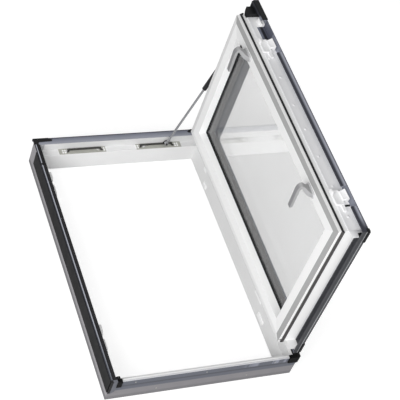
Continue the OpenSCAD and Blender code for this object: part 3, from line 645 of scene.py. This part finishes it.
def rosette(name):
    """Rosette at the sash's middle height."""
    face, back = SASH_FACE - ROSETTE_THICK, SASH_FACE
    piece = rod(name, ROSETTE_RADIUS, (HANDLE_X, 0, back), (HANDLE_X, 0, face), 48)
    edit(piece)
    for side in (-1, 1):
        bpy.ops.mesh.select_mode(type="VERT")
        bpy.ops.mesh.select_all(action="DESELECT")
        shape = bmesh.from_edit_mesh(piece.data)
        for v in shape.verts:
            v.select_set(v.co.y * side > 0.0005)
        shape.select_flush_mode()
        bmesh.update_edit_mesh(piece.data)
        bpy.ops.transform.translate(value=(0, side * ROSETTE_STRETCH * MM, 0))
    pick(piece, "FACE", lambda at, way: way.z < -0.9)
    bpy.ops.mesh.inset(thickness=3 * MM)
    bpy.ops.transform.translate(value=(0, 0, -0.2 * MM))
    pick(piece, "EDGE", lambda at, way: abs(at.z - face) < 0.1 and abs(way.z) < 0.1)
    bpy.ops.mesh.bevel(offset=2.4 * MM, segments=4, affect="EDGES")
    close_edit()
    caps = []
    for y in (-CAP_SCREW_Y, CAP_SCREW_Y):
        cap = rod("cap", CAP_SCREW_RADIUS, (HANDLE_X, y, face + 1), (HANDLE_X, y, face - 0.2), 24)
        edit(cap)
        pick(cap, "FACE", lambda at, way: way.z < -0.9)
        bpy.ops.mesh.inset(thickness=1.2 * MM)
        bpy.ops.mesh.extrude_region_move(TRANSFORM_OT_translate={"value": (0, 0, 0.8 * MM)})
        close_edit()
        caps.append(cap)
    return joined(name, [piece] + caps)


rosette_model = rosette("rosette_model")
mount(joined("rosette_forms", [copied(rosette_model, "rosette", shift(0, y, 0)) for y in HANDLE_Y]),
      "sash", ROSETTE, "handle", "rosettes")
bpy.data.objects.remove(rosette_model)


# Latches: a stepped white casting on its rail, with the tongue below
STRIP_X = -346.0
LATCH_BACK_X, LATCH_END_Y = STRIP_X - 0.4, 15.5
KEEPER_Y = (381.0, -381.0)


def latch(name):
    """Latch about its keeper's middle: a flat foot, a raised block and the tongue."""
    foot = block(name, (STRIP_X - 8, -52, 103), (LATCH_BACK_X, LATCH_END_Y, 140))
    edit(foot)
    pick(foot, "FACE", lambda at, way: way.x < -0.9)
    bpy.ops.mesh.inset(thickness=5 * MM)
    bpy.ops.mesh.extrude_region_move(TRANSFORM_OT_translate={"value": (1.2 * MM, 0, 0)})
    pick(foot, "EDGE", lambda at, way: at.x < STRIP_X - 7.9 and at.z < 104 and abs(way.y) > 0.9)
    bpy.ops.mesh.bevel(offset=4 * MM, segments=2, affect="EDGES")
    close_edit()
    soften(foot, 0.8)
    head = block("head", (STRIP_X - 22, -40, 141), (LATCH_BACK_X, 8, 158))
    edit(head)
    pick(head, "FACE", lambda at, way: way.z < -0.9)
    bpy.ops.transform.translate(value=(0, 0, -5 * MM))
    bpy.ops.transform.resize(value=(0.55, 0.85, 1), center_override=Vector((STRIP_X, -10, 136)) * MM)
    pick(head, "FACE", lambda at, way: way.x < -0.7)
    bpy.ops.mesh.inset(thickness=3.5 * MM)
    bpy.ops.mesh.extrude_region_move(TRANSFORM_OT_translate={"value": (2 * MM, 0, 0)})
    close_edit()
    soften(head, 1.2)
    tongue = block("tongue", (STRIP_X - 19, -4.5, 102), (LATCH_BACK_X, LATCH_END_Y, 110))
    edit(tongue)
    pick(tongue, "EDGE", lambda at, way: at.x < STRIP_X - 18 and abs(way.z) > 0.9)
    bpy.ops.mesh.bevel(offset=5 * MM, segments=4, affect="EDGES")
    close_edit()
    soften(tongue, 0.6)
    return joined(name, [foot, head, tongue])


latch_model = latch("latch_model")
for where, keeper_y in zip(("upper", "lower"), KEEPER_Y):
    mount(copied(latch_model, "latch_" + where + "_form", shift(0, keeper_y, 0)),
          "latch_" + where, FITTING, "white_fitting", "latch_" + where)
bpy.data.objects.remove(latch_model)


# Keepers: two rounded humps on a plate
WALL_X = -380.0
LEDGE_Z = 88.0
KEEPER_HALF, KEEPER_WIDE = 60, 19
SHORT_WIDE, HUMP_TALL = 29, 30


def hump(low, high, wide, tall, round_off):
    """Rounded hump of a keeper."""
    piece = block("hump", (WALL_X, low, LEDGE_Z + 0.5), (WALL_X + wide, high, LEDGE_Z + tall))
    edit(piece)
    pick(piece, "EDGE", lambda at, way: at.z > LEDGE_Z + tall - 1 and abs(way.x) > 0.9)
    bpy.ops.mesh.bevel(offset=round_off * MM, segments=5, affect="EDGES")
    pick(piece, "FACE", lambda at, way: way.x > 0.9)
    bpy.ops.mesh.inset(thickness=3 * MM)
    bpy.ops.mesh.extrude_region_move(TRANSFORM_OT_translate={"value": (-1.5 * MM, 0, 0)})
    close_edit()
    soften(piece, 0.7)
    return piece


def keeper(name):
    """Keeper about its middle: a plate, a slotted long hump on a low nose and a wide short hump."""
    plate = block(name, (WALL_X, -KEEPER_HALF, LEDGE_Z), (WALL_X + KEEPER_WIDE, KEEPER_HALF, LEDGE_Z + 4))
    edit(plate)
    pick(plate, "EDGE", lambda at, way: abs(way.z) > 0.9 and at.x > WALL_X + KEEPER_WIDE - 1)
    bpy.ops.mesh.bevel(offset=4 * MM, segments=3, affect="EDGES")
    close_edit()
    soften(plate, 0.6)
    long_hump = hump(-KEEPER_HALF, -7, 24.5, HUMP_TALL, 9)
    slot_cut = block("slot_cut", (WALL_X + 4, -28, 100), (WALL_X + 30, 0, 112))
    edit(slot_cut)
    pick(slot_cut, "EDGE", lambda at, way: abs(way.x) > 0.9)
    bpy.ops.mesh.bevel(offset=2 * MM, segments=2, affect="EDGES")
    close_edit()
    modify(long_hump, "BOOLEAN", operation="DIFFERENCE", object=slot_cut, solver="EXACT")
    bpy.data.objects.remove(slot_cut)
    nose = hump(-KEEPER_HALF, -7, SHORT_WIDE, 12, 4)
    short_hump = hump(18, KEEPER_HALF, SHORT_WIDE, HUMP_TALL, 9)
    return joined(name, [plate, long_hump, nose, short_hump])


keeper_model = keeper("keeper_model")
for where, keeper_y in zip(("upper", "lower"), KEEPER_Y):
    mount(copied(keeper_model, "keeper_" + where + "_form", shift(0, keeper_y, 0)),
          "frame", FITTING, "white_fitting", "keeper_" + where, swung=False)
bpy.data.objects.remove(keeper_model)


# Screws and rivets: a low round head with a round recess
def screw(name, radius, height):
    """Screw head that stands on the ground."""
    piece = rod(name, radius, (0, 0, -0.4), (0, 0, height), 24)
    edit(piece)
    pick(piece, "EDGE", lambda at, way: at.z > height - 0.1 and abs(way.z) < 0.1)
    bpy.ops.mesh.bevel(offset=0.5 * height * MM, segments=3, affect="EDGES")
    pick(piece, "FACE", lambda at, way: way.z > 0.95 and at.z > height - 0.1 and at.xy.length < 0.2)
    bpy.ops.mesh.inset(thickness=0.35 * radius * MM)
    bpy.ops.mesh.extrude_region_move(TRANSFORM_OT_translate={"value": (0, 0, -0.6 * height * MM)})
    close_edit()
    return piece


STAY_X = 164.0
PLATE_TOP = LEDGE_Z + 2
PLATE_SCREW_X, PLATE_SCREW_Y = (97.0, 86.5), (558.75, 569.25)
RIVETS = ((-290, -592, 115.5), (0, -592, 115.5), (290, -592, 115.5), (-190, -590, 46), (190, -590, 46))
STRIP_SCREWS = ((57, 129), (-67, 129), (-342, 129), (-482, 133), (300, 118), (200, 129), (-200, 129))
TO_FRONT = Matrix.Rotation(math.pi / 2, 4, "X") @ Matrix.Scale(0.65, 4)
TO_SIDE = Matrix.Rotation(-math.pi / 2, 4, "Y") @ Matrix.Scale(1.2, 4)

screw_model = screw("screw_model", 4.1, 1.6)
plate_screws = [copied(screw_model, "screw", shift(plate_x + end * inward, y, PLATE_TOP))
                for plate_x in (-STAY_X, STAY_X) for end in (-1, 1)
                for inward in PLATE_SCREW_X for y in PLATE_SCREW_Y]
rivets = [copied(screw_model, "rivet", shift(*place) @ TO_FRONT) for place in RIVETS]
mount(joined("frame_screws", plate_screws), "frame", BRIGHT, "steel", "screws", swung=False)
mount(joined("cover_rivets", rivets), "frame", ZINC, "steel", swung=False)
strip_screws = [copied(screw_model, "strip_screw", shift(STRIP_X, y, z) @ TO_SIDE) for y, z in STRIP_SCREWS]
mount(joined("strip_screws", strip_screws), "sash", FITTING, "white_fitting")
bpy.data.objects.remove(screw_model)


# Small fittings: blocks with rounded edges and plates cut to an outline
def chip(name, low, high, round_off):
    """Block with rounded edges."""
    piece = block(name, low, high)
    edit(piece)
    bpy.ops.mesh.select_all(action="SELECT")
    bpy.ops.mesh.bevel(offset=round_off * MM, segments=3, affect="EDGES")
    close_edit()
    return piece


def cut_out(name, outline, start, end):
    """Plate across X from an outline of (y, z)."""
    bpy.ops.object.select_all(action="DESELECT")
    bpy.ops.mesh.primitive_circle_add(
        vertices=len(outline), radius=MM, fill_type="NGON", rotation=(0, math.pi / 2, 0))
    piece = bpy.context.object
    piece.name = name
    settle_place(piece)
    edit(piece)
    shape = bmesh.from_edit_mesh(piece.data)
    shape.verts.ensure_lookup_table()
    for corner, (y, z) in zip(shape.verts, outline):
        corner.co = Vector((start, y, z)) * MM
    bmesh.update_edit_mesh(piece.data)
    bpy.ops.mesh.select_all(action="SELECT")
    bpy.ops.mesh.extrude_region_move(TRANSFORM_OT_translate={"value": ((end - start) * MM, 0, 0)})
    close_edit()
    return piece


# Bracket, slot, plate edge and catch of the free side
bracket = chip("strip_bracket", (-361, 471, 146), (-345.6, 512, 160.5), 1.5)
edit(bracket)
pick(bracket, "FACE", lambda at, way: way.x < -0.9)
bpy.ops.mesh.inset(thickness=2.5 * MM)
bpy.ops.transform.translate(value=(2 * MM, 0, -1 * MM))
close_edit()
mount(bracket, "sash", FITTING, "white_fitting")
mount(chip("strip_slot", (-346.2, -439.5, 131), (-345.8, -430.5, 161.5), 0.1), "sash", BLACK, "black_plastic")
mount(chip("plate_edge", (-347.6, 401, 129.5), (-345.8, 470.5, 139), 0.5), "sash", SLATE, "cladding")
catch = cut_out("handle_catch", ((416, 63.2), (436, 63.2), (434, 66.3), (418, 66.3)), -288, -275)
edit(catch)
pick(catch, "FACE", lambda at, way: way.x > 0.9)
bpy.ops.transform.resize(value=(1, 0.3, 1), center_override=Vector((-275, 434, 66.3)) * MM)
close_edit()
soften(catch, 0.4, 2)
mount(catch, "sash", BLACK, "black_plastic")

# Gasket: a lip along the sill with a hook at its hinge end, a lip round the glass and the free end
mount(chip("gasket_lip", (-345, -548.4, 80), (345, -545, 94), 0.8), "sash", LIP, "rubber")
gasket_hook = chip("gasket_hook", (330, -548.2, 79), (344.5, -545, 83.5), 0.7)
edit(gasket_hook)
pick(gasket_hook, "FACE", lambda at, way: way.x < -0.9)
bpy.ops.transform.translate(value=(0, 0, -9 * MM))
close_edit()
mount(gasket_hook, "sash", RUBBER, "rubber")
LIP_X, LIP_OUT_X = 277.2, 278.9
LIP_SILL_Y, LIP_HEAD_Y = -479.7, 480.7
LIP_LOW, LIP_HIGH = 98, 102
lips = [chip("lip", low, high, 0.4) for low, high in (
    ((LIP_X, LIP_SILL_Y, LIP_LOW), (LIP_OUT_X, LIP_HEAD_Y, LIP_HIGH)),
    ((-LIP_OUT_X, LIP_SILL_Y, LIP_LOW), (-LIP_X, LIP_HEAD_Y, LIP_HIGH)),
    ((-LIP_X, 479, LIP_LOW), (LIP_X, LIP_HEAD_Y, LIP_HIGH)),
    ((-LIP_X, LIP_SILL_Y, LIP_LOW), (LIP_X, -478, LIP_HIGH)))]
mount(joined("glazing_lip", lips), "sash", RUBBER, "rubber")
mount(chip("gasket_end", (-350, 545.8, 89.5), (-338, 550.5, 98.5), 0.8), "sash", RUBBER, "rubber")

# Stepped lower end of the strip, with a dark notch beside it
TAIL = ((-545, 109), (-549, 109), (-561, 113), (-577, 112), (-577.5, 136),
        (-571, 138), (-559, 138), (-557, 158), (-545, 158))
NOTCH = ((-558, 139), (-574, 138.6), (-577, 146), (-566, 150), (-558, 161))
TAIL_BACK_X = -345.4
tail = cut_out("strip_tail", TAIL, -347.8, TAIL_BACK_X)
soften(tail, 0.5, 2)
mount(tail, "sash", TAIL_FACE, "lock_metal")
notch = cut_out("strip_notch", NOTCH, -347.2, TAIL_BACK_X)
soften(notch, 0.4, 2)
mount(notch, "sash", BLACK, "black_plastic")

# Gusset at the head's free corner and pads on the inside of the hinge jamb
mount(chip("corner_gusset", (-379.5, 577.6, 88.1), (-345, 579.9, 130.6), 0.6), "frame", GUSSET, "casing", swung=False)
pads = [chip("pad", low, high, 0.9) for low, high in (
    ((345.5, -366, 22), (350.5, -310, 44)), ((345.5, 358, 14), (350.5, 390, 34)),
    ((348.2, -298, 77), (350.5, -232, 88.4)), ((348.2, 405, 70), (350.5, 431, 86)))]
mount(joined("jamb_pads", pads), "frame", BRIGHT, "white_fitting", swung=False)


# Stay bars: a dark bar with its ends turned toward the opening
BAR_HALF, BAR_BEND_X = 76, 66


def stay_bar(name):
    """Bar about its plate's middle."""
    piece = block(name, (-BAR_HALF, 568, 89.6), (BAR_HALF, 577, 92.6))
    edit(piece)
    for cut in (-BAR_BEND_X, BAR_BEND_X):
        bpy.ops.mesh.select_all(action="SELECT")
        bpy.ops.mesh.bisect(plane_co=(cut * MM, 0, 0), plane_no=(1, 0, 0))
    pick(piece, "FACE", lambda at, way: way.y < -0.9 and abs(at.x) > BAR_BEND_X)
    bpy.ops.mesh.extrude_region_move(TRANSFORM_OT_translate={"value": (0, -9.5 * MM, 0)})
    bpy.ops.transform.resize(value=(1.075, 1, 1), center_override=Vector((0, 560, 91)) * MM)
    close_edit()
    soften(piece, 0.8)
    return piece


bar_model = stay_bar("bar_model")
mount(joined("stay_bars", [copied(bar_model, "bar", shift(x, 0, 0)) for x in (-STAY_X, STAY_X)]),
      "frame", BAR, "black_plastic", "stay_slides", swung=False)
bpy.data.objects.remove(bar_model)

# Hook on the sill at the lock jamb
sill_hook = chip("sill_hook", (-365, -591, 124), (-350.5, -568, 136), 1.2)
edit(sill_hook)
pick(sill_hook, "FACE", lambda at, way: way.y > 0.9)
bpy.ops.transform.translate(value=(-2 * MM, 0, -3 * MM))
close_edit()
mount(sill_hook, "frame", BLACK, "black_plastic", swung=False)


# Corner caps of the cladding: a three-cornered cap with a rounded outer edge
CAP_X, CAP_Y, CAP_ARM = 384.5, 586.0, 36.5
CAP_LOW, CAP_HIGH = 144.0, 166.5


def corner_cap(name):
    """Cap of the corner at +X and +Y, about the sash's middle."""
    piece = block(name, (CAP_X - CAP_ARM, CAP_Y - CAP_ARM, CAP_LOW), (CAP_X, CAP_Y, CAP_HIGH))
    edit(piece)
    bpy.ops.mesh.select_all(action="SELECT")
    bpy.ops.mesh.bisect(plane_co=Vector((CAP_X - CAP_ARM / 2 - 4, CAP_Y - CAP_ARM / 2 - 4, 0)) * MM,
                        plane_no=(1, 1, 0), clear_inner=True, use_fill=True)
    pick(piece, "EDGE", lambda at, way: abs(way.z) > 0.9 and at.x > CAP_X - 0.1 and at.y > CAP_Y - 0.1)
    bpy.ops.mesh.bevel(offset=8 * MM, segments=6, affect="EDGES")
    close_edit()
    soften(piece, 1.0)
    return piece


def slim_cap(name):
    """Cap round the cladding's outer edge, for a sill corner seen as +X and +Y."""
    piece = block(name, (CAP_X - 62.5, CAP_Y - 16.5, 154), (CAP_X, CAP_Y, CAP_HIGH))
    room = block("room", (CAP_X - 80, CAP_Y - 40, 140), (CAP_X - 2.4, CAP_Y - 2.4, 164.1))
    edit(piece)
    pick(piece, "EDGE", lambda at, way: abs(way.z) > 0.9 and at.x > CAP_X - 0.1 and at.y > CAP_Y - 0.1)
    bpy.ops.mesh.bevel(offset=7 * MM, segments=6, affect="EDGES")
    close_edit()
    modify(piece, "BOOLEAN", operation="DIFFERENCE", object=room, solver="EXACT")
    bpy.data.objects.remove(room)
    soften(piece, 0.6, 2)
    return piece


SASH_MIDDLE = shift(0, 0.5, 0)
cap_models = {"head": corner_cap("head_cap_model"), "sill": slim_cap("sill_cap_model")}
for cap_name, flip_x, flip_y in (("sill_lock", -1, -1), ("head_hinge", 1, 1), ("sill_hinge", 1, -1)):
    flip = Matrix.Diagonal((flip_x, flip_y, 1, 1))
    cap = copied(cap_models[cap_name[:4]], "cap_" + cap_name, SASH_MIDDLE @ flip)
    edit(cap)
    close_edit()
    mount(cap, "sash", BLACK, "black_plastic", "clad_corner_" + cap_name)
for cap_model in cap_models.values():
    bpy.data.objects.remove(cap_model)


# Gas spring: a tube with a rolled end, a waisted neck and a ball socket
GAS_FOOT = (208.0, 564.0, 99.5)
GAS_SPAN_X, GAS_SPAN_Z = 149.0, 614.5
GAS_LEAN = math.atan2(GAS_SPAN_X, GAS_SPAN_Z)
GAS_LENGTH = math.hypot(GAS_SPAN_X, GAS_SPAN_Z)
TUBE_RADIUS, TUBE_LONG, TUBE_TO_BALL = 10, 273, 14
TUBE_HIGH = GAS_LENGTH - TUBE_TO_BALL
TUBE_LOW = TUBE_HIGH - TUBE_LONG


def gas_tube(name):
    """Tube along +Z from the foot's pivot."""
    piece = rod(name, TUBE_RADIUS, (0, 0, TUBE_LOW), (0, 0, TUBE_HIGH), 40)
    edit(piece)
    pick(piece, "FACE", lambda at, way: way.z > 0.9)
    bpy.ops.mesh.inset(thickness=2.5 * MM)
    bpy.ops.mesh.extrude_region_move(TRANSFORM_OT_translate={"value": (0, 0, 4 * MM)})
    bpy.ops.transform.resize(value=(0.7, 0.7, 1))
    bpy.ops.mesh.extrude_region_move(TRANSFORM_OT_translate={"value": (0, 0, 8 * MM)})
    pick(piece, "FACE", lambda at, way: way.z < -0.9)
    bpy.ops.mesh.inset(thickness=2 * MM)
    bpy.ops.mesh.inset(thickness=2.6 * MM)
    bpy.ops.mesh.extrude_region_move(TRANSFORM_OT_translate={"value": (0, 0, 10 * MM)})
    pick(piece, "EDGE", lambda at, way: (abs(at.z - TUBE_LOW) < 0.1 or abs(at.z - TUBE_HIGH) < 0.1)
         and abs(way.z) < 0.1 and at.xy.length > TUBE_RADIUS - 1)
    bpy.ops.mesh.bevel(offset=1.6 * MM, segments=4, affect="EDGES")
    close_edit()
    socket = rod("socket", 9, (0, -5.5, GAS_LENGTH), (0, 5.5, GAS_LENGTH), 32)
    edit(socket)
    pick(socket, "FACE", lambda at, way: abs(way.y) > 0.9)
    bpy.ops.mesh.inset(thickness=2.5 * MM, use_individual=True)
    bpy.ops.transform.resize(value=(1, 0.85, 1), center_override=(0, 0, GAS_LENGTH * MM))
    close_edit()
    soften(socket, 1.2)
    stud = rod("stud", 4, (0, -11.6, GAS_LENGTH), (0, -4, GAS_LENGTH), 24)
    edit(stud)
    pick(stud, "EDGE", lambda at, way: at.y < -11 and abs(way.y) < 0.1)
    bpy.ops.mesh.bevel(offset=0.6 * MM, segments=2, affect="EDGES")
    close_edit()
    return joined(name, [piece, socket, stud])


tube_form = gas_tube("gas_tube_form")
tube_form.matrix_world = shift(*GAS_FOOT) @ Matrix.Rotation(GAS_LEAN, 4, "Y")
settle_place(tube_form)
mount(tube_form, "gas_tube", TUBE, "gas_tube", "gas_tube", swung=False)


# Floor, light and camera

FLOOR_SIZE, FLOOR_Z = 60, -0.002
FLOOR_PALE, FLOOR_DEEP = (0.46, 0.46, 0.46, 1), (0.44, 0.44, 0.44, 1)
GLOW, SIDE_GLOW = 0.70, 0.2
BEHIND_X, BEHIND_Y = 0.38, 0.6
WHITE = (1.0, 1.0, 1.0, 1.0)
SKY_STRENGTH = 0.55

bpy.ops.object.select_all(action="DESELECT")
bpy.ops.mesh.primitive_plane_add(size=FLOOR_SIZE, location=(0, 0, FLOOR_Z))
floor = bpy.context.object
floor.name = "floor"


def floor_finish():
    """White ground that glows for the camera, and behind the sash through the glass; it keeps a faint shadow."""
    f = Finish("pale_floor")
    body = f.node("ShaderNodeBsdfDiffuse", sockets={"Color": f.blend(f.grain(0.4), FLOOR_PALE, FLOOR_DEEP)})
    seen = f.node("ShaderNodeLightPath", output="Is Camera Ray")
    through = f.node("ShaderNodeLightPath", output="Is Transmission Ray")
    across, along = f.along("X"), f.along("Y")
    behind = (across > BEHIND_X) + (across < BEHIND_X) * (along > BEHIND_Y) * SIDE_GLOW
    glow = f.node("ShaderNodeEmission", sockets={"Color": WHITE, "Strength": (seen + through * behind) * GLOW})
    return f.close(f.node("ShaderNodeAddShader", sockets={0: body, 1: glow}))


floor.data.materials.append(floor_finish())

scene = bpy.context.scene
scene.view_settings.view_transform = "Standard"
world = bpy.data.worlds.new("studio")
scene.world = world
world.use_nodes = True
sky = world.node_tree.nodes["Background"]
sky.inputs["Color"].default_value = WHITE
sky.inputs["Strength"].default_value = SKY_STRENGTH


def lamp(name, spot, aim, size, power):
    """Soft square lamp that looks at a point."""
    data = bpy.data.lights.new(name, "AREA")
    data.size = size
    data.energy = power
    made = bpy.data.objects.new(name, data)
    scene.collection.objects.link(made)
    made.location = spot
    made.rotation_euler = (Vector(aim) - Vector(spot)).to_track_quat("-Z", "Y").to_euler()


lamp("key", spot=(-3.6, -2.6, 3.0), aim=(0.1, 0.0, 0.3), size=3.0, power=190)
lamp("fill", spot=(-0.7, -4.6, 1.9), aim=(0.2, 0.0, 0.3), size=2.5, power=66)

# Camera fitted to the frame's edges
CAMERA_AT = (-2.01398, -2.89371, 4.21321)
CAMERA_RIGHT = (0.91221, -0.31037, 0.26749)
CAMERA_UP = (0.07758, 0.77188, 0.63102)
CAMERA_LENS = 120.29
view = bpy.data.cameras.new("view")
view.lens = CAMERA_LENS
view.sensor_width = 36
view.clip_end = 100
eye = bpy.data.objects.new("view", view)
scene.collection.objects.link(eye)
right = Vector(CAMERA_RIGHT).normalized()
back = right.cross(Vector(CAMERA_UP)).normalized()
up = back.cross(right)
turn = Matrix((right, up, back)).transposed()
eye.matrix_world = Matrix.Translation(CAMERA_AT) @ turn.to_4x4()
scene.camera = eye
